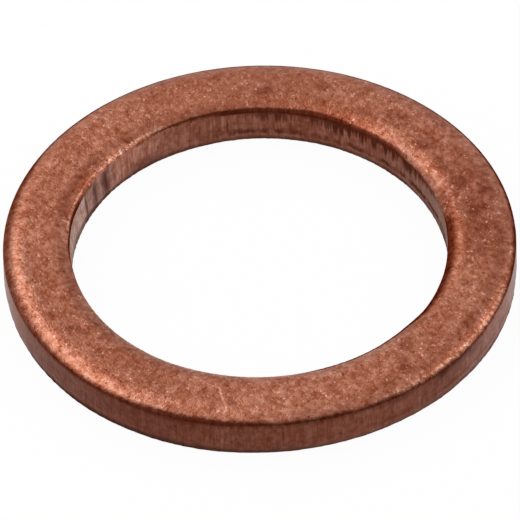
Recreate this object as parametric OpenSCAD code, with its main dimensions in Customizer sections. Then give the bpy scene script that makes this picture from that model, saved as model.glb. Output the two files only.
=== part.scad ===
// Copper crush washer: a flat sealing ring, punched from soft sheet in one stroke.
// The face that meets the punch is drawn down into wide rolled-over edges, each wall has
// a straight sheared land, and a torn zone leans back from that land down to the burr face.
// The ring lies on its burr face, with the origin at the middle of that face and +Z along the bore.

/* [Ring] */
// Outside diameter of the ring
outer_d = 17.9; // [15:0.1:40]
// Diameter of the bore, at its sheared land
bore_d = 13.1; // [4:0.1:16]
// Thickness of the sheet, face to face
sheet_t = 1.65; // [1:0.05:4]

/* [Rolled edges] */
// Radius of the wide curve that draws the face down to the outside wall
outer_roll_r = 1.25; // [0.25:0.01:1.35]
// Radius of the wide curve that draws the face down to the bore
bore_roll_r = 1.1; // [0.25:0.01:1.35]
// Radius of the tight curve in which both turn into their walls
roll_edge_r = 0.1; // [0.02:0.01:0.2]

/* [Torn zones] */
// Height of the torn zone of the outside wall, above the burr face
outer_torn_h = 0.4; // [0.15:0.01:0.9]
// How far the outside wall stands back at the burr face
outer_torn_back = 0.05; // [0.01:0.01:0.2]
// Height of the torn zone of the bore wall, above the burr face
bore_torn_h = 0.4; // [0.15:0.01:0.9]
// How far the bore wall stands back at the burr face
bore_torn_back = 0.06; // [0.01:0.01:0.2]
// Radius that tumbling leaves on both edges of the burr face
burr_edge_r = 0.07; // [0.02:0.01:0.14]

/* [Finish] */
// Colour of the tarnished copper
copper_colour = "#A86A53"; // ["#A86A53":Tarnished, "#C98262":Bright, "#7A4636":Dark]

/* [Hidden] */
$fn = 180;

// Sine and cosine of the slope at which a rolled-over edge tightens: a 3-4-5 triangle
ROLL_SLOPE = [0.6, 0.8];
// A rolled-over edge takes at most this share of the ring's width
ROLL_SHARE = 0.36;
// Each half of the section covers this share of the ring's width, so that the halves overlap in the flats
HALF_SHARE = 0.6;

outer_r = outer_d / 2;
bore_r = bore_d / 2;
ring_w = outer_r - bore_r;
half_w = HALF_SHARE * ring_w;
// In whole hundredths, so that the arcs still meet exactly
widest_roll_r = floor(100 * (roll_edge_r + (ROLL_SHARE * ring_w - roll_edge_r) / ROLL_SLOPE[0])) / 100;

module disc(centre, r) {
    translate(centre) circle(r = r);
}

// Half of the ring's section, with its wall at radius 0 and its metal on the left
module half_section(torn_h, torn_back, roll_r) {
    lean = atan(torn_back / torn_h);
    burr_centre = [-torn_back - burr_edge_r * tan(45 - lean / 2), burr_edge_r];
    wide_r = min(roll_r, widest_roll_r);
    tightening = (wide_r - roll_edge_r) * ROLL_SLOPE;
    wide_centre = [-roll_edge_r - tightening[0], sheet_t - wide_r];
    edge_centre = wide_centre + tightening;

    polygon([
        [-half_w, 0],
        [burr_centre[0], 0],
        burr_centre + burr_edge_r * [cos(lean), -sin(lean)],
        [0, torn_h],
        [0, edge_centre[1]],
        edge_centre,
        [wide_centre[0], sheet_t],
        [-half_w, sheet_t]
    ]);
    disc(burr_centre, burr_edge_r);
    disc(edge_centre, roll_edge_r);
    intersection() {
        disc(wide_centre, wide_r);
        polygon([wide_centre, wide_centre + 2 * wide_r * ROLL_SLOPE, wide_centre + 2 * wide_r * [0, 1]]);
    }
}

module crush_washer() {
    color(copper_colour) rotate_extrude() {
        translate([outer_r, 0]) half_section(outer_torn_h, outer_torn_back, outer_roll_r);
        translate([bore_r, 0]) mirror([1, 0]) half_section(bore_torn_h, bore_torn_back, bore_roll_r);
    }
}

crush_washer();
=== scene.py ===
import math
import random
import bpy
import bmesh
from mathutils import Matrix, Vector, noise


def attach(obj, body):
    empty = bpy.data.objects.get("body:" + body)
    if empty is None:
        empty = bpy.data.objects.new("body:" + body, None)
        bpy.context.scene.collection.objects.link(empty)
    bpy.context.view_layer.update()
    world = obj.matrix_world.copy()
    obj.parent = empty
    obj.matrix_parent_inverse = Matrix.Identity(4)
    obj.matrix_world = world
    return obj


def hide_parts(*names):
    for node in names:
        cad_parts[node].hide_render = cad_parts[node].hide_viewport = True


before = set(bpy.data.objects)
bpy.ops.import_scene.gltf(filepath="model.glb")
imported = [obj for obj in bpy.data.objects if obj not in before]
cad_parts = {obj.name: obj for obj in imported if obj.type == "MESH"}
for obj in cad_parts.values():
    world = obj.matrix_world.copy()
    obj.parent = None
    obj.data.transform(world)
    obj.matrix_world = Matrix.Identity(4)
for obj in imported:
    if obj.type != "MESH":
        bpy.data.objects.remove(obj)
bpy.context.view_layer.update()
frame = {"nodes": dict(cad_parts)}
mm = 0.001
print("frame loaded:", ", ".join(frame["nodes"]))


# small helpers for node trees
def feed(socket, value):
    if isinstance(value, bpy.types.NodeSocket):
        socket.id_data.links.new(value, socket)
    else:
        socket.default_value = value


def calc(tree, operation, first, second=0.0, third=0.0):
    node = tree.nodes.new("ShaderNodeMath")
    node.operation = operation
    feed(node.inputs[0], first)
    feed(node.inputs[1], second)
    feed(node.inputs[2], third)
    return node.outputs[0]


def vectorCalc(tree, operation, first, second=(0, 0, 0), third=(0, 0, 0)):
    node = tree.nodes.new("ShaderNodeVectorMath")
    node.operation = operation
    feed(node.inputs[0], first)
    feed(node.inputs[1], second)
    feed(node.inputs[2], third)
    return node.outputs["Value" if operation in ("DOT_PRODUCT", "LENGTH") else "Vector"]


def fade(tree, value, start, end, low=0.0, high=1.0):  # eased from low to high
    node = tree.nodes.new("ShaderNodeMapRange")
    node.interpolation_type = "SMOOTHSTEP"
    feed(node.inputs["Value"], value)
    feed(node.inputs["From Min"], start)
    feed(node.inputs["From Max"], end)
    feed(node.inputs["To Min"], low)
    feed(node.inputs["To Max"], high)
    return node.outputs["Result"]


def grainNoise(tree, place, scale, detail=2.0, rough=0.5, bend=0.0):
    node = tree.nodes.new("ShaderNodeTexNoise")
    feed(node.inputs["Vector"], place)
    feed(node.inputs["Scale"], scale)
    node.inputs["Detail"].default_value = detail
    node.inputs["Roughness"].default_value = rough
    node.inputs["Distortion"].default_value = bend
    return node.outputs[0]


def mixColour(tree, amount, first, second, mode="MIX"):
    node = tree.nodes.new("ShaderNodeMix")
    node.data_type = "RGBA"
    node.blend_type = mode
    feed(node.inputs[0], amount)
    feed(node.inputs[6], first)
    feed(node.inputs[7], second)
    return node.outputs[2]


def shade(tree, colour, tone):  # darker comes out redder, and paler pinker
    node = tree.nodes.new("ShaderNodeCombineColor")
    feed(node.inputs[0], tone)
    feed(node.inputs[1], calc(tree, "POWER", tone, 1.75))
    feed(node.inputs[2], calc(tree, "POWER", tone, 2.3))
    return mixColour(tree, 1.0, colour, node.outputs[0], "MULTIPLY")


def stretch(tree, place, scale=(1, 1, 1), shift=(0, 0, 0), twist=(0, 0, 0)):
    node = tree.nodes.new("ShaderNodeMapping")
    feed(node.inputs["Vector"], place)
    node.inputs["Scale"].default_value = scale
    node.inputs["Location"].default_value = shift
    node.inputs["Rotation"].default_value = twist
    return node.outputs["Vector"]


def unsettle(tree, place, scale, reach):  # moves places a little, so that edges come out uneven
    cloud = tree.nodes.new("ShaderNodeTexNoise")
    feed(cloud.inputs["Vector"], place)
    cloud.inputs["Scale"].default_value = scale
    span = (2 * reach, 2 * reach, 2 * reach)
    moved = stretch(tree, place, shift=(-reach, -reach, -reach))
    return vectorCalc(tree, "MULTIPLY_ADD", cloud.outputs["Color"], span, moved)


def outwards(tree, place):  # unit direction away from the ring's axis
    return vectorCalc(tree, "NORMALIZE", vectorCalc(tree, "MULTIPLY", place, (1, 1, 0)))


def towards(tree, place, degrees):  # cosine of the angle round the ring from that direction
    angle = math.radians(degrees)
    aim = (math.cos(angle), math.sin(angle), 0)
    return vectorCalc(tree, "DOT_PRODUCT", outwards(tree, place), aim)


def around(tree, place, degrees, start, full, low=0.0, high=1.0):  # eased between two such cosines
    return fade(tree, towards(tree, place, degrees), start, full, low, high)


# each mark: direction, radius, height, half sizes outwards, along and up, lean, strength
def spots(tree, place, marks):
    total = None
    for degrees, radius, height, size, lean, strength in marks:
        angle = math.radians(degrees)
        node = tree.nodes.new("ShaderNodeMapping")
        node.vector_type = "TEXTURE"
        feed(node.inputs["Vector"], place)
        spot = (radius * math.cos(angle), radius * math.sin(angle), height)
        node.inputs["Location"].default_value = spot
        node.inputs["Rotation"].default_value = (0, 0, angle + math.radians(lean))
        node.inputs["Scale"].default_value = size
        away = vectorCalc(tree, "LENGTH", node.outputs["Vector"])
        mark = fade(tree, away, 1.0, 0.1, 0.0, strength)
        total = mark if total is None else calc(tree, "MAXIMUM", total, mark)
    return total


def newGroup(name, inputs, outputs):
    tree = bpy.data.node_groups.new(name, "ShaderNodeTree")
    for label, kind, value in inputs:
        socket = tree.interface.new_socket(label, in_out="INPUT", socket_type=kind)
        if value is not None:
            socket.default_value = value
    for label in outputs:
        tree.interface.new_socket(label, in_out="OUTPUT", socket_type="NodeSocketFloat")
    return tree, tree.nodes.new("NodeGroupInput").outputs, tree.nodes.new("NodeGroupOutput").inputs


def placeGroup(tree, group, values):
    node = tree.nodes.new("ShaderNodeGroup")
    node.node_tree = group
    for label, value in values.items():
        feed(node.inputs[label], value)
    return node.outputs


# the washer, in millimetres
washer = {
    "outerRadius": 8.95,
    "boreRadius": 6.55,
    "thick": 1.65,
    "outerRoll": 1.25,
    "boreRoll": 1.1,
    "rollEdge": 0.1,
    "outerTorn": (0.4, 0.05),  # height, and how far it stands back
    "boreTorn": (0.4, 0.06),
    "burrEdge": 0.07,
    "middleRadius": 7.75,  # parts the outer half from the bore half
    "faceDepth": 0.28,  # how far down the upper face's finish reaches
    "underHeight": 0.02,  # and how far up the burr face's
    "arcSteps": 100,  # the section is spun through one arc, and the arc copied round
    "arcs": 10,
    # how far the foot of each wall stands out at some directions round the ring, in degrees
    "outerFoot": (
        (-180, 0), (-165, -0.01), (-150, -0.01), (-135, 0.012), (-120, 0.012), (-105, 0),
        (-90, -0.035), (-75, -0.04), (-60, -0.03), (-45, -0.01), (-30, 0.02), (-15, 0.03),
        (0, 0.01), (30, 0), (180, 0),
    ),
    "boreFoot": (
        (-180, -0.02), (-90, 0), (0, -0.02), (15, -0.025), (40, 0), (60, 0.015), (90, 0.02),
        (110, 0), (135, 0), (160, -0.025), (180, -0.02),
    ),
    # how far the bore's upper edge stands back, most at the left, with a nick at the right front
    "boreEdge": (
        (-180, 0.07), (-168, 0.03), (-150, 0.01), (-125, 0), (-105, -0.025), (-75, -0.025),
        (-55, 0), (-42, 0), (-30, 0.07), (-15, 0.04), (-3, 0), (128, 0), (146, 0.07),
        (168, 0.085), (180, 0.07),
    ),
    # how ragged the rolled-over edges are where they meet their walls
    "outerRagged": ((-180, 0.4), (-70, 0.6), (-45, 1.6), (-25, 1.6), (0, 0.4), (30, 0.2), (180, 0.3)),
    "boreRagged": ((-180, 0.8), (0, 0.5), (50, 0.8), (85, 1.4), (150, 1.6), (180, 0.8)),
    "boreScore": (99, 0.04, 0.02),  # one deep upright score: direction, half width and depth
    "dieMarks": 0.007,  # depths of the wear
    "tear": 0.016,
    "wander": (0.010, 0.012),  # slow and quick
    "nicks": (0.016, 0.022),  # sideways and up
    "uneven": (0.012, 0.004),  # slow and quick
    "burrHollow": 0.006,
    "dents": 90,
    "dentSize": (0.12, 0.42),
    "dentDepth": (0.012, 0.035),  # as a share of the size
    "seed": 41,
}


def runTo(bm, last, x, z, steps):
    step = (Vector((x, 0, z)) - last.co) / steps
    for _ in range(steps):
        grown = bmesh.ops.extrude_vert_indiv(bm, verts=[last])
        last = grown["verts"][0]
        bmesh.ops.translate(bm, verts=[last], vec=step)
    return last


def turn(bm, last, x, z, degrees, steps):
    spun = bmesh.ops.spin(
        bm, geom=[last], cent=(x, 0, z), axis=(0, 1, 0), angle=math.radians(degrees), steps=steps
    )
    return [part for part in spun["geom_last"] if isinstance(part, bmesh.types.BMVert)][0]


def drawSection(bm, w):
    top = w["thick"]
    outer = w["outerRadius"]
    bore = w["boreRadius"]
    edge = w["rollEdge"]
    burr = w["burrEdge"]
    rise = 0.6  # the rolls steepen to the slope of a 3-4-5 triangle
    run = 0.8
    slope = math.degrees(math.asin(rise))
    outerSpan = rise * (w["outerRoll"] - edge) + edge
    boreSpan = rise * (w["boreRoll"] - edge) + edge
    outerDrop = (1 - run) * w["outerRoll"] + run * edge
    boreDrop = (1 - run) * w["boreRoll"] + run * edge
    outerLean = math.atan2(w["outerTorn"][1], w["outerTorn"][0])
    boreLean = math.atan2(w["boreTorn"][1], w["boreTorn"][0])
    outerFoot = outer - w["outerTorn"][1] - burr * math.tan(math.pi / 4 - outerLean / 2)
    boreFoot = bore + w["boreTorn"][1] + burr * math.tan(math.pi / 4 - boreLean / 2)
    middle = (outer - outerSpan + bore + boreSpan) / 2

    # from the middle of the upper face, out over the rim, under the ring and up through the bore
    last = bm.verts.new((middle, 0, top))
    last = runTo(bm, last, outer - outerSpan, top, 6)
    last = turn(bm, last, outer - outerSpan, top - w["outerRoll"], slope, 14)
    last = turn(bm, last, outer - edge, top - outerDrop, 90 - slope, 6)
    last = runTo(bm, last, outer, w["outerTorn"][0], 10)
    leanX = outerFoot + burr * math.cos(outerLean)
    leanZ = burr - burr * math.sin(outerLean)
    last = runTo(bm, last, leanX, leanZ, 5)
    last = turn(bm, last, outerFoot, burr, 90 - math.degrees(outerLean), 4)
    last = runTo(bm, last, boreFoot, 0, 9)
    last = turn(bm, last, boreFoot, burr, 90 - math.degrees(boreLean), 4)
    last = runTo(bm, last, bore, w["boreTorn"][0], 5)
    last = runTo(bm, last, bore, top - boreDrop, 10)
    last = turn(bm, last, bore + edge, top - boreDrop, 90 - slope, 6)
    last = turn(bm, last, bore + boreSpan, top - w["boreRoll"], slope, 12)
    runTo(bm, last, middle, top, 5)


def ease(value, start, end):
    t = min(1.0, max(0.0, (value - start) / (end - start)))
    return t * t * (3 - 2 * t)


def alongRing(table, degrees):
    for (start, first), (end, second) in zip(table, table[1:]):
        if degrees <= end:
            return first + (second - first) * ease(degrees, start, end)
    return table[-1][1]


def ripple(direction, reach, height, depth, shift):  # noise round the ring, slow in height
    return noise.noise(Vector((direction.x * reach + shift, direction.y * reach, height * depth)))


def wearRing(bm, w):
    random.seed(w["seed"])
    dents = []
    for _ in range(w["dents"]):
        angle = random.uniform(0, 2 * math.pi)
        radius = random.uniform(w["boreRadius"] + 0.3, w["outerRadius"] - 0.25)
        size = random.uniform(*w["dentSize"])
        depth = size * random.uniform(*w["dentDepth"])
        dents.append((radius * math.cos(angle), radius * math.sin(angle), size, depth))
    top = w["thick"]
    moves = []
    for vert in bm.verts:
        x, y, z = vert.co
        radius = math.hypot(x, y)
        out = Vector((x / radius, y / radius, 0))
        isOuter = radius > w["middleRadius"]
        wall = w["outerRadius"] if isOuter else w["boreRadius"]
        side = 1.0 if isOuter else -1.0
        onWall = 1 - ease(abs(radius - wall), 0.02, 0.16)
        below = 1 - ease(z, top - 0.55, top - 0.3)
        move = Vector((0, 0, 0))

        # the die leaves fine upright marks on the land
        marks = 0.6 * ripple(out, 26, z, 0.12, 3.0) + 0.4 * ripple(out, 70, z, 0.2, 9.0)
        move += out * w["dieMarks"] * marks * onWall * below
        # the torn zone is rough, with a ragged upper border
        border = 0.42 + 0.12 * ripple(out, 14, 0, 0, 21.0) + 0.05 * ripple(out, 60, 0, 0, 5.0)
        torn = (1 - ease(z, border - 0.1, border + 0.04)) * onWall
        tear = 0.55 * ripple(out, 30, z, 4.0, 15.0) + 0.45 * ripple(out, 85, z, 9.0, 2.0)
        move += out * side * torn * w["tear"] * tear
        # the burr edge wanders
        foot = (1 - ease(z, 0.03, 0.3)) * (1 - ease(abs(radius - wall), 0.16, 0.45))
        degrees = math.degrees(math.atan2(y, x))
        slow, quick = w["wander"]
        wander = slow * ripple(out, 9, 0, 0, 33.0) + quick * ripple(out, 40, 0, 0, 8.0)
        wander += alongRing(w["outerFoot"] if isOuter else w["boreFoot"], degrees)
        move += out * foot * wander
        # the rolled-over edges are nicked where they meet their walls
        crest = ease(z, top - 0.52, top - 0.38) * (1 - ease(z, top - 0.3, top - 0.1))
        crest *= 1 - ease(abs(radius - wall), 0.05, 0.25)
        nick = 0.5 * ripple(out, 16, 0, 0, 12.0) + 0.5 * ripple(out, 55, z, 2.0, 27.0)
        crest *= alongRing(w["outerRagged"] if isOuter else w["boreRagged"], degrees)
        sideways, upwards = w["nicks"]
        move -= out * side * crest * sideways * nick
        move.z += crest * upwards * ripple(out, 60, 0, 0, 40.0)
        if not isOuter:
            back = alongRing(w["boreEdge"], degrees)
            move += out * back * ease(z, 0.45, 1.2) * (1 - ease(radius - wall, 0.1, 0.6))
            middle, spread, depth = w["boreScore"]
            apart = abs(math.radians(degrees - middle)) * w["boreRadius"]
            score = (1 - ease(apart, 0, spread)) * ease(z, 0.4, 0.6) * (1 - ease(z, 1.2, 1.35))
            move += out * depth * score * onWall

        # tumbling leaves the upper face a little uneven, with small dents
        onFace = ease(z, top - 0.34, top - 0.1)
        if onFace > 0:
            slow, quick = w["uneven"]
            swell = slow * noise.noise(Vector((x * 0.55, y * 0.55, 7.0)))
            swell += quick * noise.noise(Vector((x * 2.2, y * 2.2, 3.0)))
            move.z += onFace * (swell - slow)
            for dentX, dentY, size, depth in dents:
                apart = (x - dentX) ** 2 + (y - dentY) ** 2
                if apart < size * size:
                    move.z -= onFace * depth * (1 - apart / (size * size)) ** 2
        # so is the burr face, which only hollows upwards
        if z < 0.001:
            move.z += w["burrHollow"] * (1 + noise.noise(Vector((x * 0.8, y * 0.8, 19.0))))
        moves.append(move)
    for vert, move in zip(bm.verts, moves):
        vert.co += move


def buildWasher(w):
    bm = bmesh.new()
    drawSection(bm, w)
    bmesh.ops.remove_doubles(bm, verts=bm.verts, dist=0.0005)
    arc = 2 * math.pi / w["arcs"]
    bmesh.ops.spin(
        bm, geom=bm.verts[:] + bm.edges[:], cent=(0, 0, 0), axis=(0, 0, 1),
        angle=arc, steps=w["arcSteps"]
    )
    bmesh.ops.spin(
        bm, geom=bm.verts[:] + bm.edges[:] + bm.faces[:], cent=(0, 0, 0), axis=(0, 0, 1),
        angle=2 * math.pi - arc, steps=w["arcs"] - 1, use_duplicate=True
    )
    bmesh.ops.remove_doubles(bm, verts=bm.verts, dist=0.0005)
    bmesh.ops.recalc_face_normals(bm, faces=bm.faces)
    for face in bm.faces:
        face.smooth = True
        middle = face.calc_center_median()
        radius = math.hypot(middle.x, middle.y)
        if middle.z > w["thick"] - w["faceDepth"]:
            face.material_index = 0
        elif middle.z < w["underHeight"]:
            face.material_index = 3
        else:
            face.material_index = 1 if radius > w["middleRadius"] else 2
    wearRing(bm, w)
    bmesh.ops.scale(bm, verts=bm.verts, vec=(mm, mm, mm))
    mesh = bpy.data.meshes.new("washerRing")
    bm.to_mesh(mesh)
    bm.free()
    ring = bpy.data.objects.new("washerRing", mesh)
    bpy.context.scene.collection.objects.link(ring)
    print("washer ring:", len(mesh.polygons), "faces")
    return ring


# finishes shared by the ring's materials
# its glints are painted highlights
def makeGrain():  # the close grain that tumbling leaves, with glints and pits
    tree, given, result = newGroup(
        "tumbledGrain",
        [
            ("Place", "NodeSocketVector", None),
            ("Grain Size", "NodeSocketFloat", 0.08),
            ("Contrast", "NodeSocketFloat", 1.0),
        ],
        ["Tone", "Glints", "Specks", "Mottle", "Height"],
    )
    scale = calc(tree, "DIVIDE", 1.0, given["Grain Size"])
    turned = stretch(tree, given["Place"], twist=(0.7, 0.5, 0.9))
    fine = grainNoise(tree, turned, scale, 1.0, 0.6)
    middlingScale = calc(tree, "MULTIPLY", scale, 0.45)
    middling = grainNoise(tree, stretch(tree, turned, shift=(4, 1, 8)), middlingScale)
    coarseScale = calc(tree, "MULTIPLY", scale, 0.19)
    coarse = grainNoise(tree, stretch(tree, turned, shift=(9, 6, 2)), coarseScale)
    total = calc(tree, "MULTIPLY", fine, 0.5)
    total = calc(tree, "MULTIPLY_ADD", fade(tree, middling, 0.32, 0.68), 0.36, total)
    total = calc(tree, "MULTIPLY_ADD", coarse, 0.8, total)
    total = calc(tree, "SUBTRACT", total, 0.83)  # the mean of the three
    feed(result["Tone"], calc(tree, "MULTIPLY_ADD", total, given["Contrast"], 1.0))
    patches = grainNoise(tree, stretch(tree, turned, shift=(5, 17, 3)), 1.1, 3.0, 0.6)
    brightScale = calc(tree, "MULTIPLY", scale, 0.7)
    bright = grainNoise(tree, stretch(tree, turned, shift=(31, 7, 0)), brightScale, 1.0, 0.6)
    start = fade(tree, patches, 0.36, 0.64, 0.69, 0.59)
    feed(result["Glints"], fade(tree, bright, start, calc(tree, "ADD", start, 0.12)))
    darkScale = calc(tree, "MULTIPLY", scale, 0.62)
    dark = grainNoise(tree, stretch(tree, turned, shift=(3, 27, 5)), darkScale, 1.0, 0.6)
    specks = fade(tree, dark, 0.36, 0.28)
    feed(result["Specks"], specks)
    feed(result["Mottle"], grainNoise(tree, stretch(tree, turned, shift=(2, 40, 9)), 2.4, 4.0, 0.65))
    height = calc(tree, "MULTIPLY_ADD", middling, 1.2, fine)
    feed(result["Height"], calc(tree, "MULTIPLY_ADD", specks, -0.6, height))
    return tree


def makeOxide():  # brown bloom in soft-edged patches
    tree, given, result = newGroup(
        "oxideBloom",
        [
            ("Place", "NodeSocketVector", None),
            ("Patch Size", "NodeSocketFloat", 1.4),
            ("Spread", "NodeSocketFloat", 0.5),
        ],
        ["Bloom", "Haze"],
    )
    scale = calc(tree, "DIVIDE", 1.0, given["Patch Size"])
    cloud = grainNoise(tree, stretch(tree, given["Place"], shift=(13, 4, 2)), scale, 5.0, 0.62, 0.4)
    start = calc(tree, "SUBTRACT", 0.72, calc(tree, "MULTIPLY", given["Spread"], 0.3))
    feed(result["Bloom"], fade(tree, cloud, start, calc(tree, "ADD", start, 0.14)))
    hazePlace = stretch(tree, given["Place"], shift=(1, 9, 6))
    feed(result["Haze"], grainNoise(tree, hazePlace, 0.4, 3.0, 0.55))
    return tree


def makeStreaks():  # upright marks of the cut on both walls
    tree, given, result = newGroup(
        "shearStreaks",
        [
            ("Place", "NodeSocketVector", None),
            ("Streak Width", "NodeSocketFloat", 0.16),
            ("Contrast", "NodeSocketFloat", 1.0),
        ],
        ["Tone", "Drips", "Height"],
    )
    scale = calc(tree, "DIVIDE", 1.0, given["Streak Width"])
    wide = grainNoise(tree, stretch(tree, given["Place"], (1, 1, 0.06)), scale, 1.0)
    thinPlace = stretch(tree, given["Place"], (1, 1, 0.13), (8, 3, 1))
    thin = grainNoise(tree, thinPlace, calc(tree, "MULTIPLY", scale, 2.4), 1.0)
    total = calc(tree, "MULTIPLY_ADD", wide, 0.8, calc(tree, "MULTIPLY", thin, 1.2))
    total = calc(tree, "SUBTRACT", total, 1.0)  # the mean of the two
    feed(result["Tone"], calc(tree, "MULTIPLY_ADD", total, given["Contrast"], 1.0))
    dripPlace = stretch(tree, given["Place"], (1, 1, 0.02), (5, 6, 4))
    drips = grainNoise(tree, dripPlace, calc(tree, "MULTIPLY", scale, 1.2), 2.0, 0.6)
    feed(result["Drips"], fade(tree, drips, 0.42, 0.64))
    feed(result["Height"], calc(tree, "MULTIPLY_ADD", thin, 0.5, calc(tree, "MULTIPLY", wide, 0.5)))
    return tree


grainGroup = makeGrain()
oxideGroup = makeOxide()
streakGroup = makeStreaks()


def startMaterial(name):
    material = bpy.data.materials.new(name)
    material.use_nodes = True
    tree = material.node_tree
    shader = tree.nodes["Principled BSDF"]
    shader.inputs["Metallic"].default_value = 1.0
    coords = tree.nodes.new("ShaderNodeTexCoord")
    place = stretch(tree, coords.outputs["Object"], (1 / mm, 1 / mm, 1 / mm))
    return material, tree, shader, place


def radiusOf(tree, place):
    return vectorCalc(tree, "LENGTH", vectorCalc(tree, "MULTIPLY", place, (1, 1, 0)))


def heightOf(tree, place):
    split = tree.nodes.new("ShaderNodeSeparateXYZ")
    feed(split.inputs[0], place)
    return split.outputs["Z"]


def placeGrain(tree, place, size, contrast):
    return placeGroup(tree, grainGroup, {"Place": place, "Grain Size": size, "Contrast": contrast})


def placeOxide(tree, place, patchSize, spread, strength):
    oxide = placeGroup(tree, oxideGroup, {"Place": place, "Patch Size": patchSize, "Spread": spread})
    return oxide["Haze"], calc(tree, "MULTIPLY", oxide["Bloom"], strength)


def roughen(tree, unevenness, middle, spread):
    return calc(tree, "MULTIPLY_ADD", unevenness, spread, middle - spread / 2)


def addBump(tree, shader, height, depth, strength=1.0):
    bump = tree.nodes.new("ShaderNodeBump")
    feed(bump.inputs["Strength"], strength)
    bump.inputs["Distance"].default_value = depth * mm
    feed(bump.inputs["Height"], height)
    feed(shader.inputs["Normal"], bump.outputs["Normal"])


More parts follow.
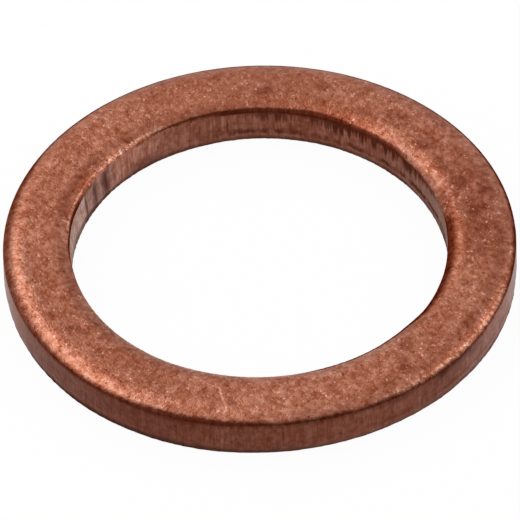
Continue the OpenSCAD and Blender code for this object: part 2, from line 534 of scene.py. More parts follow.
# An entry that starts with a direction, in degrees round the ring, goes on with the cosines of
# the angle from it where the effect starts and is full, and mostly with the effect's least and most.
faceFinish = {
    "copper": (0.392, 0.131, 0.075, 1),
    "fresh": (0.460, 0.168, 0.101, 1),
    "tarnishAndShade": (0.285, 0.080, 0.0415, 1),
    "stain": (0.178, 0.038, 0.016, 1),
    "glint": (0.72, 0.355, 0.245, 1),
    "speck": (0.17, 0.036, 0.016, 1),
    # burnished edges, made paler still as a painted highlight
    "burnishAndHighlight": (0.72, 0.35, 0.24, 1),
    # painted shade: the dark lines where the rolled edges meet their walls
    "shoulderShade": (0.084, 0.013, 0.005, 1),
    "edge": (1.0, 0.95, 0.93, 1),  # tint where it is seen edge-on
    # the edge-on tint within that painted shade
    "shoulderShadeEdge": (0.48, 0.20, 0.125, 1),
    "roughness": 0.4,
    "roughSpread": 0.16,
    "roughStains": 0.12,  # what stains and burnishing add to it
    "roughBurnish": -0.1,
    "bump": 0.022,
    "grainSize": 0.09,
    "contrast": (92, 0.75, 0.98, 0.95, 0.7),  # of the grain, calmest at the back
    "bloom": (1.3, 0.45, 0.3),  # patch size, spread and strength
    # paler towards the front
    "palerFront": (-82, 0.8, 1.0, 0.0, 0.45),
    "haze": (0.35, 0.7),  # noise where it starts and is full
    "mottle": (0.52, 0.3, 0.0, 0.5),  # the same, then its least and most
    "speckStrength": 0.65,
    "glintStrength": 0.7,
    "scratchStrength": 0.85,
    "scratchEdges": (6.0, 0.04),  # scale and reach of their wander
    "stainEdges": ((2.2, 0.22), (9.0, 0.06)),  # the same, slow and quick
    "stainMottle": (0.7, 0.35, 0.6, 1.05),
    "dullSoft": 0.2,  # how softly duller stretches end inwards and outwards
    # duller stretches, painted shade where they lie on the rolled edges: direction, the cosines,
    # middle radius, half width, strength
    "duller": (
        (12, 0.86, 0.99, 7.8, 0.6, 0.72),
        (88, 0.92, 1.0, 7.8, 1.2, 0.3),
        (-142, 0.80, 0.98, 7.4, 0.6, 0.4),
        (-150, 0.97, 0.995, 8.5, 0.35, 0.5),
        (-40, 0.92, 1.0, 7.6, 1.0, 0.12),
        (-122, 0.93, 0.99, 7.8, 0.7, 0.18),
        (64, 0.975, 0.994, 6.85, 0.35, 0.75),
        (155, 0.955, 0.985, 6.95, 0.25, 0.85),
        (15, 0.95, 0.99, 6.85, 0.35, 0.7),
        (103, 0.97, 0.99, 6.75, 0.25, 0.35),
        (-22, 0.95, 0.985, 8.5, 0.22, 0.55),
        (-124, 0.97, 0.992, 8.45, 0.22, 0.35),
    ),
    # painted highlight colours on the rims where the lamps shine, mostly paler: direction, the
    # cosines, the radius where each starts and is full, strength, colour
    "rimHighlights": (
        (-152, 0.60, 0.88, 8.3, 8.6, 0.55, (0.445, 0.196, 0.127, 1)),
        (31, 0.90, 0.98, 7.15, 6.85, 0.85, (0.340, 0.141, 0.091, 1)),
        (42, 0.993, 0.999, 7.05, 6.85, 0.8, (0.290, 0.112, 0.070, 1)),
        (-90, 0.96, 0.995, 7.9, 8.2, 0.6, (0.520, 0.200, 0.125, 1)),
        (-124, 0.96, 0.99, 8.66, 8.76, 0.5, (0.560, 0.250, 0.165, 1)),
        (-170, 0.975, 0.995, 7.9, 8.2, 0.45, (0.500, 0.210, 0.135, 1)),
        (-58, 0.93, 0.99, 7.3, 7.0, 0.55, (0.465, 0.203, 0.132, 1)),
        (-133, 0.85, 0.97, 7.0, 6.8, 0.6, (0.465, 0.203, 0.132, 1)),
    ),
    # soft brown stains: direction, radius, height, half sizes, lean, strength
    "stains": (
        (16, 6.79, 1.6, (0.23, 0.95, 1), 0, 0.9),
        (25, 6.74, 1.6, (0.10, 0.70, 1), 0, 0.75),
        (9, 7.63, 1.65, (0.60, 0.75, 1), 20, 0.9),
        (15, 8.27, 1.65, (0.60, 0.50, 1), 0, 0.65),
        (19, 7.50, 1.65, (0.50, 0.65, 1), -20, 0.6),
        (2, 7.75, 1.65, (0.60, 0.60, 1), 0, 0.7),
        (10, 7.12, 1.65, (0.35, 0.60, 1), 0, 0.4),
        (17, 7.22, 1.65, (0.30, 0.40, 1), 0, 0.5),
        (-6, 7.80, 1.65, (0.35, 0.50, 1), 0, 0.45),
        (-19, 7.98, 1.65, (0.50, 0.65, 1), 0, 0.35),
        (-47, 7.27, 1.65, (0.70, 0.36, 1), -20, 0.6),
        (-43, 6.80, 1.65, (0.30, 0.60, 1), 0, 0.4),
        (-52, 8.03, 1.65, (0.75, 0.36, 1), -20, 0.7),
        (37, 7.34, 1.65, (0.42, 0.75, 1), 30, 0.65),
        (50, 7.70, 1.65, (0.36, 0.75, 1), 10, 0.6),
        (28, 7.27, 1.65, (0.36, 0.65, 1), 0, 0.5),
        (88, 7.42, 1.65, (0.42, 0.85, 1), 0, 0.75),
        (72, 7.85, 1.65, (0.36, 0.60, 1), 0, 0.7),
        (100, 8.29, 1.65, (0.16, 0.20, 1), 0, 0.7),
        (-146, 7.60, 1.65, (0.50, 0.75, 1), 0, 0.25),
    ),
    # pale scratches, in the same form
    "scratches": (
        (-100.4, 7.89, 1.65, (0.85, 0.045, 1), 24, 1.0),
        (-99, 8.35, 1.65, (0.26, 0.05, 1), 24, 0.9),
        (121, 7.25, 1.65, (0.26, 0.05, 1), -15, 0.8),
        (139, 8.02, 1.65, (0.13, 0.07, 1), 10, 1.0),
        (127, 7.90, 1.65, (0.12, 0.08, 1), 60, 0.7),
        (64, 7.88, 1.65, (0.14, 0.07, 1), 15, 0.8),
        (-176, 7.72, 1.65, (0.08, 0.12, 1), 0, 0.9),
    ),
}


# the face's edges, with radii and heights where an effect starts and is full
faceEdges = {
    "wobble": 0.14,
    # the edges that stand proud are burnished, with a painted highlight on them
    "outerShine": (-39, 0.90, 0.985, 0.0, 0.6),
    "outerShineFrom": (8.72, 8.80),
    "boreShine": (145, 0.86, 0.94, 0.0, 0.66),
    "boreShineDip": (152, 0.98, 0.998, 1.0, 0.6),
    "boreShineFrom": (6.77, 6.71),
    "boreShineTo": (6.60, 6.64),
    "shineGrain": (0.85, 1.25, 0.5, 1.0),
    # how far the bore's edge stands back
    "boreBack": ((164, 0.90, 0.975, 0.0, 0.08), (160, 0.972, 0.988, 0.0, 0.03)),
    # painted shade, a dark line round the outside: where it starts, width and strength, and what the
    # left adds to each
    "outerLine": (8.75, 0.17, 0.95),
    "outerLineLeft": (-0.23, 0.16, -0.2),
    "left": (180, 0.80, 1.0),
    "outerLineShifts": (
        (-36, 0.9, 0.99, 0.0, 0.05),
        (-105, 0.93, 1.0, 0.0, -0.07),
        (-78, 0.985, 1.0, 0.0, -0.04),
    ),
    "outerLineFoot": (1.41, 1.36),
    "outerLineWeaker": (-82, 0.95, 0.99, 0.0, -0.35),
    # painted shade, a dark line round the bore: where it starts and its width, and what the nick adds
    # to both
    "boreLine": (6.715, 0.09),
    "boreLineNick": (0.33, 0.25),
    "nick": (-10, 0.82, 0.98),
    "boreLineShifts": ((92, 0.88, 0.98, 0.0, 0.025), (70, 0.985, 0.998, 0.0, 0.05)),
    "boreLineShares": ((25, -0.27, -0.10, 0.0, 0.92), (25, 0.95, 0.985, 1.0, 0.2)),
    "boreLineFoot": (6.62, 6.57),
    "boreLineWeaker": (125, 0.88, 0.98, 0.0, -0.8),
    # a thin line of painted shade where the bore's edge stands back, and a faint one along the back
    # of the ring
    "thinLine": (6.63, 6.58),
    "thinLineTowards": (176, 0.90, 0.98, 0.0, 0.95),
    "backLine": (8.4, 8.9),
    "backLineTowards": (95, 0.0, 0.6, 0.0, 0.2),
    # the grain is flatter on the rolled-over edges
    "outerRolled": (8.25, 8.6),
    "boreRolled": (7.2, 6.9),
    "rolledBump": -0.4,
}


# burnished edges with a painted highlight along them
def burnishAndHighlightEdges(tree, edges, place, radius, back, wobble):
    outerShine = around(tree, place, *edges["outerShine"])
    outerFrom = fade(tree, calc(tree, "ADD", radius, wobble), *edges["outerShineFrom"])
    outerShine = calc(tree, "MULTIPLY", outerShine, outerFrom)
    boreEdge = calc(tree, "SUBTRACT", radius, back)
    boreStart = calc(tree, "MULTIPLY_ADD", wobble, 0.4, boreEdge)
    boreStart = calc(tree, "MULTIPLY_ADD", back, 0.5, boreStart)
    boreShine = around(tree, place, *edges["boreShine"])
    boreShine = calc(tree, "MULTIPLY", boreShine, around(tree, place, *edges["boreShineDip"]))
    boreShine = calc(tree, "MULTIPLY", boreShine, fade(tree, boreStart, *edges["boreShineFrom"]))
    boreShine = calc(tree, "MULTIPLY", boreShine, fade(tree, boreEdge, *edges["boreShineTo"]))
    return calc(tree, "MAXIMUM", outerShine, boreShine)


# painted shade at the rolls' feet, under the bore's edge and along the back of the ring
def paintShoulderShade(tree, edges, place, radius, back, wobble):  # where the rolls meet their walls
    left = around(tree, place, *edges["left"])
    begin, width, strength = edges["outerLine"]
    beginLeft, widthLeft, strengthLeft = edges["outerLineLeft"]
    start = calc(tree, "MULTIPLY_ADD", left, beginLeft, calc(tree, "ADD", wobble, begin))
    for shift in edges["outerLineShifts"]:
        start = calc(tree, "ADD", start, around(tree, place, *shift))
    width = calc(tree, "MULTIPLY_ADD", left, widthLeft, width)
    strength = calc(tree, "MULTIPLY_ADD", left, strengthLeft, strength)
    outerLine = fade(tree, radius, start, calc(tree, "ADD", start, width))
    outerLine = calc(tree, "MULTIPLY", outerLine, strength)
    foot = fade(tree, heightOf(tree, place), *edges["outerLineFoot"])
    weaker = calc(tree, "MULTIPLY_ADD", foot, around(tree, place, *edges["outerLineWeaker"]), 1.0)
    outerLine = calc(tree, "MULTIPLY", outerLine, weaker)

    nick = around(tree, place, *edges["nick"])
    begin, width = edges["boreLine"]
    beginNick, widthNick = edges["boreLineNick"]
    start = calc(tree, "MULTIPLY_ADD", wobble, 0.7, begin)
    start = calc(tree, "MULTIPLY_ADD", nick, beginNick, start)
    for shift in edges["boreLineShifts"]:
        start = calc(tree, "ADD", start, around(tree, place, *shift))
    width = calc(tree, "MULTIPLY_ADD", nick, widthNick, width)
    boreLine = fade(tree, radius, start, calc(tree, "SUBTRACT", start, width))
    for share in edges["boreLineShares"]:
        boreLine = calc(tree, "MULTIPLY", boreLine, around(tree, place, *share))
    foot = fade(tree, radius, *edges["boreLineFoot"])
    weaker = calc(tree, "MULTIPLY_ADD", foot, around(tree, place, *edges["boreLineWeaker"]), 1.0)
    boreLine = calc(tree, "MULTIPLY", boreLine, weaker)

    thinLine = fade(tree, calc(tree, "SUBTRACT", radius, back), *edges["thinLine"])
    thinLine = calc(tree, "MULTIPLY", thinLine, around(tree, place, *edges["thinLineTowards"]))
    backLine = fade(tree, radius, *edges["backLine"])
    backLine = calc(tree, "MULTIPLY", backLine, around(tree, place, *edges["backLineTowards"]))
    lines = calc(tree, "MAXIMUM", outerLine, boreLine)
    lines = calc(tree, "MAXIMUM", lines, thinLine)
    return calc(tree, "MAXIMUM", lines, backLine)


def makeFace(finish, edges):
    material, tree, shader, place = startMaterial("copperFace")
    radius = radiusOf(tree, place)
    contrast = around(tree, place, *finish["contrast"])
    grain = placeGrain(tree, place, finish["grainSize"], contrast)
    haze, bloom = placeOxide(tree, place, *finish["bloom"])

    haze = fade(tree, haze, *finish["haze"])
    colour = mixColour(tree, haze, finish["copper"], finish["fresh"])
    # duller stretches, which are painted shade on the rolled edges
    for degrees, start, full, middle, half, strength in finish["duller"]:
        off = calc(tree, "ABSOLUTE", calc(tree, "SUBTRACT", radius, middle))
        dull = fade(tree, off, half + finish["dullSoft"], half - finish["dullSoft"])
        dull = calc(tree, "MULTIPLY", dull, around(tree, place, degrees, start, full, 0.0, strength))
        colour = mixColour(tree, dull, colour, finish["tarnishAndShade"])
    colour = mixColour(tree, around(tree, place, *finish["palerFront"]), colour, finish["fresh"])
    # painted highlight colours on the rims
    for degrees, start, full, near, far, strength, paler in finish["rimHighlights"]:
        rim = around(tree, place, degrees, start, full, 0.0, strength)
        rim = calc(tree, "MULTIPLY", rim, fade(tree, radius, near, far))
        colour = mixColour(tree, rim, colour, paler)
    mottle = fade(tree, grain["Mottle"], *finish["mottle"])
    colour = mixColour(tree, mottle, colour, finish["tarnishAndShade"])

    slow, quick = finish["stainEdges"]
    uneven = unsettle(tree, unsettle(tree, place, *slow), *quick)
    stains = calc(tree, "MAXIMUM", spots(tree, uneven, finish["stains"]), bloom)
    stains = calc(tree, "MULTIPLY", stains, fade(tree, grain["Mottle"], *finish["stainMottle"]))
    colour = mixColour(tree, stains, colour, finish["stain"])
    specks = calc(tree, "MULTIPLY", grain["Specks"], finish["speckStrength"])
    colour = mixColour(tree, specks, colour, finish["speck"])

    wobble = grainNoise(tree, stretch(tree, place, (1, 1, 0.2), (3, 3, 3)), 5.0, 4.0, 0.7)
    wobble = calc(tree, "MULTIPLY_ADD", wobble, edges["wobble"], -edges["wobble"] / 2)
    back = 0.0
    for step in edges["boreBack"]:
        back = calc(tree, "ADD", back, around(tree, place, *step))
    burnishAndHighlight = burnishAndHighlightEdges(tree, edges, place, radius, back, wobble)
    shineGrain = fade(tree, grain["Height"], *edges["shineGrain"])
    burnishAndHighlight = calc(tree, "MULTIPLY", burnishAndHighlight, shineGrain)
    # painted highlight on the burnished edges
    colour = mixColour(tree, burnishAndHighlight, colour, finish["burnishAndHighlight"])
    glints = calc(tree, "MULTIPLY", grain["Glints"], finish["glintStrength"])
    scratches = spots(tree, unsettle(tree, place, *finish["scratchEdges"]), finish["scratches"])
    scratches = calc(tree, "MULTIPLY", scratches, finish["scratchStrength"])
    colour = mixColour(tree, calc(tree, "MAXIMUM", glints, scratches), colour, finish["glint"])
    # painted shade at the rolled edges, with a darker edge-on tint there
    shoulderShade = paintShoulderShade(tree, edges, place, radius, back, wobble)
    colour = mixColour(tree, shoulderShade, colour, finish["shoulderShade"])
    feed(shader.inputs["Base Color"], shade(tree, colour, grain["Tone"]))
    edge = mixColour(tree, shoulderShade, finish["edge"], finish["shoulderShadeEdge"])
    feed(shader.inputs["Specular Tint"], edge)

    rough = roughen(tree, grain["Mottle"], finish["roughness"], finish["roughSpread"])
    rough = calc(tree, "MULTIPLY_ADD", stains, finish["roughStains"], rough)
    rough = calc(tree, "MULTIPLY_ADD", burnishAndHighlight, finish["roughBurnish"], rough)
    feed(shader.inputs["Roughness"], rough)
    outerRolled = fade(tree, radius, *edges["outerRolled"])
    rolled = calc(tree, "MAXIMUM", outerRolled, fade(tree, radius, *edges["boreRolled"]))
    bumpStrength = calc(tree, "MULTIPLY_ADD", rolled, edges["rolledBump"], 1.0)
    addBump(tree, shader, grain["Height"], finish["bump"], bumpStrength)
    return material


# what both walls share
wallShared = {
    "grainSize": 0.09,
    "streakWidth": 0.16,
    "bloom": (1.1, 0.55, 0.25),  # patch size, spread and strength
    "scoreEdges": (7.0, 0.05),  # scale and reach of their wander
    # the dark band under the rim and the darkening at the foot are painted shade
    "bandFade": (0.16, 0.1),  # below and above the dark band's lower border
    "tornLevel": (0.27, 0.45),  # lowest height of the torn zone's line, and how far it wanders up
    "tornFade": (0.19, 0.02),
    "tornGaps": (0.36, 0.56, 0.15, 1.0),
    "footWander": 0.3,
    "footFade": 0.28,
    "footSides": (0.8, 0.97),  # cosines from the right and the left
    "tintSides": (0.94, 0.99),
    "roughSpread": 0.24,
    "roughBand": 0.25,
}

outerFinish = {
    "name": "copperOuterWall",
    "radius": washer["outerRadius"],
    # darker than the face's copper: partly the sheared copper's own colour, partly painted shade
    "copper": (0.158, 0.0495, 0.0285, 1),
    "edge": (1.0, 0.86, 0.83, 1),  # tint where it is seen edge-on
    "endEdge": (1.0, 1.0, 1.0, 1),  # the same at the right and left
    "bandEdge": (0.48, 0.20, 0.125, 1),
    "footEdge": (0.42, 0.36, 0.34, 1),
    "pale": (0.42, 0.22, 0.17, 1),
    "foot": (0.057, 0.025, 0.020, 1),
    "dark": (0.060, 0.009, 0.004, 1),
    "torn": (0.085, 0.018, 0.009, 1),
    "contrast": 0.6,
    # stretches painted lighter or darker for the light and reflections they take: direction, the
    # cosines, colour
    "paintedLightAndShade": (
        (0, 0.6, 1.0, (0.262, 0.108, 0.077, 1)),
        (-118, 0.94, 0.99, (0.140, 0.0405, 0.022, 1)),
        (-58, 0.93, 0.99, (0.178, 0.056, 0.032, 1)),
        (-146, 0.965, 0.995, (0.138, 0.0415, 0.0235, 1)),
        (-178, 0.90, 0.985, (0.190, 0.060, 0.036, 1)),
        (180, 0.93, 1.0, (0.225, 0.085, 0.058, 1)),
        (0, 0.93, 1.0, (0.280, 0.124, 0.092, 1)),
    ),
    "grain": 0.65,
    # painted shade under the rolled-over edge
    "bandTowards": (-90, 0.25, 0.7),
    "bandWeaker": (-82, 0.95, 0.99, 1.0, 0.7),
    "bandTop": 1.42,
    "bandDepth": (0.03, 0.08),  # at the least, and what the drips add
    "bandStrength": 0.65,
    "tornTowards": (-30, 0.2, 1.0),
    "tornStrength": 0.3,
    # painted shade towards the burr edge
    "footTop": 0.38,
    "footEnds": (0.0, 0.0),  # how much higher it reaches at the right and left
    "footStrength": 0.85,
    "footWeaker": ((-40, 0.45, 0.95, 1.0, 0.52),),
    "roughness": 0.42,
    "bump": 0.016,
    # dark scores, wide patches of painted shade just under the rim, and pale scratches: direction,
    # height, half sizes along and up, strength
    "scoresAndShade": (
        (-110, 0.95, 0.07, 0.45, 0.5),
        (-86, 1.0, 0.05, 0.5, 0.6),
        (-117, 0.7, 0.05, 0.5, 0.4),
        # wide patches of painted shade just under the rim
        (-46, 1.24, 0.60, 0.34, 1.0),
        (-41, 1.28, 2.00, 0.34, 0.7),
        (-35, 1.15, 0.60, 0.42, 0.4),
        (-113, 1.27, 1.60, 0.20, 0.35),
        (-59, 1.22, 0.90, 0.24, 0.45),
    ),
    "scratches": (
        (-101, 0.8, 0.03, 0.5, 0.25),
        (-66, 0.7, 0.03, 0.4, 0.25),
    ),
}

boreFinish = {
    "name": "copperBoreWall",
    "radius": washer["boreRadius"],
    # darker than the face's copper: partly the sheared copper's own colour, partly painted shade
    "copper": (0.200, 0.066, 0.039, 1),
    "edge": (0.88, 0.80, 0.77, 1),
    "endEdge": (0.74, 0.64, 0.60, 1),
    "bandEdge": (0.60, 0.42, 0.36, 1),
    "footEdge": (0.42, 0.34, 0.31, 1),
    "pale": (0.52, 0.32, 0.26, 1),
    "foot": (0.073, 0.032, 0.026, 1),
    "dark": (0.055, 0.009, 0.004, 1),
    "torn": (0.068, 0.018, 0.010, 1),
    "contrast": 0.75,
    # stretches painted lighter or darker for the light and reflections they take
    "paintedLightAndShade": (
        (165, 0.45, 0.95, (0.358, 0.140, 0.092, 1)),
        (150, 0.975, 0.992, (0.275, 0.122, 0.092, 1)),
        (166, 0.970, 0.999, (0.44, 0.265, 0.215, 1)),
    ),
    "grain": 0.7,
    # painted shade under the rolled-over edge
    "bandTowards": (55, 0.62, 0.95),
    "bandWeaker": (75, 0.985, 0.998, 1.0, 0.7),
    "bandTop": 1.44,
    "bandDepth": (0.16, 0.43),
    "bandStrength": 0.75,
    "tornTowards": (50, 0.35, 0.75),
    "tornStrength": 0.8,
    # painted shade towards the burr edge
    "footTop": 0.36,
    "footEnds": (0.32, 0.28),
    "footStrength": 0.8,
    "footWeaker": ((168, 0.95, 0.99, 1.0, 0.85), (24, 0.97, 0.99, 1.0, 0.6)),
    "roughness": 0.42,
    "bump": 0.018,
    "scoresAndShade": (
        (99, 0.85, 0.045, 0.5, 0.9),
        (122, 0.80, 0.07, 0.13, 0.75),
        (134, 0.70, 0.05, 0.12, 0.7),
        (138, 0.46, 0.05, 0.10, 0.7),
        (144, 0.70, 0.27, 1.6, 0.9),
        (150, 0.80, 0.22, 1.8, 0.8),
        (156, 0.80, 0.14, 1.8, 0.85),
        (14, 1.23, 0.07, 0.08, 0.85),
        # a wide patch of painted shade low on the wall
        (127, 0.30, 1.80, 0.60, 0.6),
    ),
    "scratches": (
        (158, 0.95, 0.05, 0.9, 0.8),
        (147, 0.80, 0.06, 0.9, 0.4),
        (128, 0.85, 0.03, 0.4, 0.5),
        (104, 1.0, 0.02, 0.4, 0.4),
    ),
}


def wallSpots(tree, place, radius, marks):
    placed = []
    for degrees, height, along, up, strength in marks:
        placed.append((degrees, radius, height, (1, along, up), 0, strength))
    return spots(tree, place, placed)


# painted shade under the rolled-over edge, its lower border ragged with the drips
def paintBandShade(tree, finish, shared, height, strength, depth):  # under the rolled-over edge
    below, above = shared["bandFade"]
    low = calc(tree, "SUBTRACT", finish["bandTop"], calc(tree, "MULTIPLY", depth, strength))
    bandShade = fade(tree, height, calc(tree, "SUBTRACT", low, below), calc(tree, "ADD", low, above))
    strength = calc(tree, "MULTIPLY", strength, finish["bandStrength"])
    return calc(tree, "MULTIPLY", bandShade, strength)


def darkenTorn(tree, finish, shared, place, height, ragged):  # broken line atop the torn zone
    lowest, wander = shared["tornLevel"]
    level = calc(tree, "MULTIPLY_ADD", ragged, wander, lowest)
    off = calc(tree, "ABSOLUTE", calc(tree, "SUBTRACT", height, level))
    gaps = grainNoise(tree, stretch(tree, place, (1, 1, 0.3), (4, 9, 2)), 1.8, 3.0, 0.6)
    broken = fade(tree, gaps, *shared["tornGaps"])
    broken = calc(tree, "MULTIPLY", broken, around(tree, place, *finish["tornTowards"]))
    broken = calc(tree, "MULTIPLY", broken, finish["tornStrength"])
    return calc(tree, "MULTIPLY", fade(tree, off, *shared["tornFade"]), broken)


# painted shade, darker towards the burr edge where the ring meets the floor
def paintFootShade(tree, finish, shared, place, height, ragged):  # towards the burr edge
    right, left = finish["footEnds"]
    start, full = shared["footSides"]
    ends = around(tree, place, 0, start, full, 0.0, right)
    ends = calc(tree, "ADD", ends, around(tree, place, 180, start, full, 0.0, left))
    lowest = calc(tree, "ADD", ends, finish["footTop"] - shared["footWander"] / 2)
    top = calc(tree, "MULTIPLY_ADD", ragged, shared["footWander"], lowest)
    bottom = calc(tree, "SUBTRACT", top, shared["footFade"])
    foot = fade(tree, height, top, bottom, 0.0, finish["footStrength"])
    for weaker in finish["footWeaker"]:
        foot = calc(tree, "MULTIPLY", foot, around(tree, place, *weaker))
    return foot


def makeWall(finish, shared):
    material, tree, shader, place = startMaterial(finish["name"])
    height = heightOf(tree, place)
    upright = vectorCalc(tree, "MULTIPLY", place, (0, 0, 1))
    reach = (finish["radius"], finish["radius"], 0)
    onWall = vectorCalc(tree, "MULTIPLY_ADD", outwards(tree, place), reach, upright)
    grain = placeGrain(tree, place, shared["grainSize"], finish["grain"])
    streaks = placeGroup(tree, streakGroup, {
        "Place": onWall,
        "Streak Width": shared["streakWidth"],
        "Contrast": finish["contrast"],
    })
    _, bloom = placeOxide(tree, place, *shared["bloom"])

    colour = finish["copper"]
    # painted light and shade round the wall
    for degrees, start, full, paintedLightAndShade in finish["paintedLightAndShade"]:
        colour = mixColour(tree, around(tree, place, degrees, start, full), colour, paintedLightAndShade)
    colour = shade(tree, colour, streaks["Tone"])
    colour = shade(tree, colour, grain["Tone"])
    colour = mixColour(tree, bloom, colour, finish["dark"])
    scratches = wallSpots(tree, onWall, finish["radius"], finish["scratches"])
    colour = mixColour(tree, scratches, colour, finish["pale"])
    uneven = unsettle(tree, onWall, *shared["scoreEdges"])
    scoresAndShade = wallSpots(tree, uneven, finish["radius"], finish["scoresAndShade"])
    colour = mixColour(tree, scoresAndShade, colour, finish["dark"])

    # painted shade: a dark band under the rolled-over edge
    strength = around(tree, place, *finish["bandTowards"])
    strength = calc(tree, "MULTIPLY", strength, around(tree, place, *finish["bandWeaker"]))
    least, more = finish["bandDepth"]
    dripping = calc(tree, "MULTIPLY_ADD", streaks["Drips"], more, least)
    bandShade = paintBandShade(tree, finish, shared, height, strength, dripping)
    colour = mixColour(tree, bandShade, colour, finish["dark"])
    ragged = grainNoise(tree, stretch(tree, place, (1, 1, 0.5), (6, 2, 8)), 3.5, 5.0, 0.7)
    line = darkenTorn(tree, finish, shared, place, height, ragged)
    colour = mixColour(tree, line, colour, finish["torn"])
    # painted shade towards the burr edge
    foot = paintFootShade(tree, finish, shared, place, height, ragged)
    feed(shader.inputs["Base Color"], mixColour(tree, foot, colour, finish["foot"]))

    # the edge-on tint is painted reflection at the right and left ends, and darker in the painted
    # shade of band and foot and along the torn line
    sides = fade(tree, calc(tree, "ABSOLUTE", towards(tree, place, 0)), *shared["tintSides"])
    edge = mixColour(tree, sides, finish["edge"], finish["endEdge"])
    evenBand = paintBandShade(tree, finish, shared, height, strength, least + more / 2)  # no drips
    edge = mixColour(tree, evenBand, edge, finish["bandEdge"])
    edge = mixColour(tree, calc(tree, "MAXIMUM", foot, line), edge, finish["footEdge"])
    feed(shader.inputs["Specular Tint"], edge)

    rough = roughen(tree, streaks["Height"], finish["roughness"], shared["roughSpread"])
    feed(shader.inputs["Roughness"], calc(tree, "MULTIPLY_ADD", bandShade, shared["roughBand"], rough))
    both = calc(tree, "MULTIPLY_ADD", grain["Height"], 0.5, streaks["Height"])
    addBump(tree, shader, both, finish["bump"])
    return material


# the burr face has the upper face's colours
underFinish = {
    **faceFinish,
    "roughness": 0.44,
    "grainSize": 0.08,
    "contrast": 1.0,
    "bloom": (1.6, 0.6, 0.5),
    "speckStrength": 0.5,
    "glintStrength": 0.6,
}


def makeUnder(finish):
    material, tree, shader, place = startMaterial("copperBurrFace")
    grain = placeGrain(tree, place, finish["grainSize"], finish["contrast"])
    haze, bloom = placeOxide(tree, place, *finish["bloom"])
    haze = fade(tree, haze, *finish["haze"])
    colour = mixColour(tree, haze, finish["tarnishAndShade"], finish["copper"])
    colour = mixColour(tree, bloom, colour, finish["stain"])
    specks = calc(tree, "MULTIPLY", grain["Specks"], finish["speckStrength"])
    colour = mixColour(tree, specks, colour, finish["speck"])
    colour = shade(tree, colour, grain["Tone"])
    glints = calc(tree, "MULTIPLY", grain["Glints"], finish["glintStrength"])
    feed(shader.inputs["Base Color"], mixColour(tree, glints, colour, finish["glint"]))
    rough = roughen(tree, grain["Mottle"], finish["roughness"], finish["roughSpread"])
    feed(shader.inputs["Roughness"], rough)
    addBump(tree, shader, grain["Height"], finish["bump"])
    return material


ring = buildWasher(washer)
ring.data.materials.append(makeFace(faceFinish, faceEdges))
ring.data.materials.append(makeWall(outerFinish, wallShared))
ring.data.materials.append(makeWall(boreFinish, wallShared))
ring.data.materials.append(makeUnder(underFinish))
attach(ring, "root")
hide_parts("crush_washer")
print("finishes:", ", ".join(m.name for m in ring.data.materials))


# floor, light and camera
stageSet = {
    "floorSize": 12.0,
    "floorColour": (0.95, 0.95, 0.95, 1),
    "whiteShare": 0.96,
    "level": 0.86,  # of the light all round
    "dimFront": 0.45,
    "front": (0, -0.87, 0.5),
    "frontFade": (0.5, 0.92),
    "dimRight": 0.3,
    "rightFade": (0.05, 0.4),
    "horizonFade": (0.22, 0.06),  # white down at the horizon
}


def makeFloor(s):
    bm = bmesh.new()
    bmesh.ops.create_grid(bm, x_segments=1, y_segments=1, size=s["floorSize"] / 2)
    mesh = bpy.data.meshes.new("floor")
    bm.to_mesh(mesh)
    bm.free()
    floor = bpy.data.objects.new("floor", mesh)
    bpy.context.scene.collection.objects.link(floor)
    material = bpy.data.materials.new("whiteFloor")
    material.use_nodes = True
    tree = material.node_tree
    tree.nodes.remove(tree.nodes["Principled BSDF"])
    matte = tree.nodes.new("ShaderNodeBsdfDiffuse")
    matte.inputs["Color"].default_value = s["floorColour"]
    white = tree.nodes.new("ShaderNodeEmission")
    path = tree.nodes.new("ShaderNodeLightPath")
    seen = calc(tree, "MAXIMUM", path.outputs["Is Camera Ray"], path.outputs["Is Glossy Ray"])
    seen = calc(tree, "MAXIMUM", seen, path.outputs["Is Transmission Ray"])
    blend = tree.nodes.new("ShaderNodeMixShader")
    feed(blend.inputs[0], calc(tree, "MULTIPLY", seen, s["whiteShare"]))
    feed(blend.inputs[1], matte.outputs[0])
    feed(blend.inputs[2], white.outputs[0])
    feed(tree.nodes["Material Output"].inputs["Surface"], blend.outputs[0])
    mesh.materials.append(material)


def makeWorld(s):
    world = bpy.data.worlds.new("softStudio")
    world.use_nodes = True
    bpy.context.scene.world = world
    tree = world.node_tree
    coords = tree.nodes.new("ShaderNodeTexCoord")
    front = vectorCalc(tree, "DOT_PRODUCT", coords.outputs["Generated"], s["front"])
    level = fade(tree, front, *s["frontFade"], s["level"], s["level"] * (1 - s["dimFront"]))
    split = tree.nodes.new("ShaderNodeSeparateXYZ")
    feed(split.inputs[0], coords.outputs["Generated"])
    right = fade(tree, split.outputs["X"], *s["rightFade"], 1.0, 1 - s["dimRight"])
    level = calc(tree, "MULTIPLY", level, right)
    level = calc(tree, "MAXIMUM", level, fade(tree, split.outputs["Z"], *s["horizonFade"]))
    feed(tree.nodes["Background"].inputs["Strength"], level)
    tree.nodes["Background"].inputs["Color"].default_value = (1, 1, 1, 1)


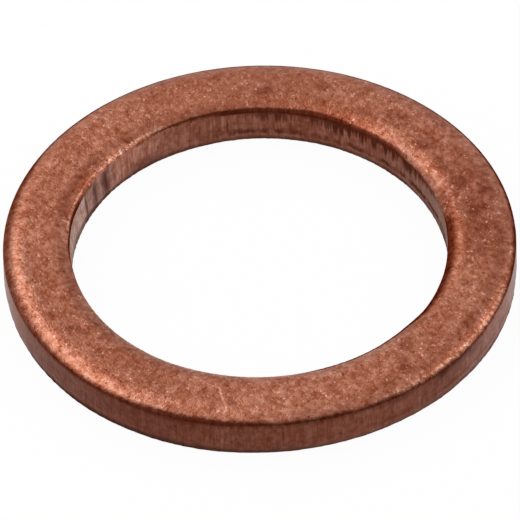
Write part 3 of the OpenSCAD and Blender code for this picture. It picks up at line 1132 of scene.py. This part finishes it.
softboxes = (
    {
        "name": "leftSoftbox",
        "direction": (-0.50, 0.32, 0.80),
        "upright": (0.17, 0.94, -0.28),
        "distance": 0.30,  # metres, as its sides are
        "wide": 0.11,
        "tall": 0.30,
        "glow": 2.4,
    },
    {
        "name": "rightSoftbox",
        "direction": (0.67, 0.28, 0.69),
        "upright": (0.1, 0.84, -0.53),
        "distance": 0.30,
        "wide": 0.05,
        "tall": 0.16,
        "glow": 3.2,
    },
)


def addSoftbox(name, direction, upright, distance, wide, tall, glow):
    data = bpy.data.lights.new(name, "AREA")
    data.shape = "RECTANGLE"
    data.size = wide
    data.size_y = tall
    data.energy = glow * math.pi * wide * tall
    lamp = bpy.data.objects.new(name, data)
    away = Vector(direction).normalized()
    side = Vector(upright).cross(away).normalized()
    turned = Matrix((side, away.cross(side), away)).transposed()
    lamp.matrix_world = Matrix.Translation(away * distance) @ turned.to_4x4()
    bpy.context.scene.collection.objects.link(lamp)


view = {
    "height": 44.853,  # degrees above the ring
    "roll": -1.616,  # degrees
    "distance": 549.98,  # millimetres, as are the next three and the sensor
    "width": 18.1509,  # what the frame takes in at the ring
    "right": 0.0128,
    "down": 0.4222,
    "sensor": 36,
    "clip": (0.01, 50),  # metres
}


def makeCamera(v):
    data = bpy.data.cameras.new("camera")
    data.sensor_width = v["sensor"]
    data.lens = v["sensor"] * v["distance"] / v["width"]
    data.clip_start, data.clip_end = v["clip"]
    camera = bpy.data.objects.new("camera", data)
    tilt = math.radians(v["height"])
    back = Vector((0, -math.cos(tilt), math.sin(tilt)))
    up = Vector((0, math.sin(tilt), math.cos(tilt)))
    turned = Matrix((Vector((1, 0, 0)), up, back)).transposed()
    turned = turned @ Matrix.Rotation(math.radians(v["roll"]), 3, "Z")
    spot = back * v["distance"] - turned.col[0] * v["right"] + turned.col[1] * v["down"]
    camera.matrix_world = Matrix.Translation(spot * mm) @ turned.to_4x4()
    bpy.context.scene.collection.objects.link(camera)
    bpy.context.scene.camera = camera


makeFloor(stageSet)
makeWorld(stageSet)
for box in softboxes:
    addSoftbox(**box)
makeCamera(view)
bpy.context.scene.view_settings.view_transform = "Standard"
print("floor, light and camera set")
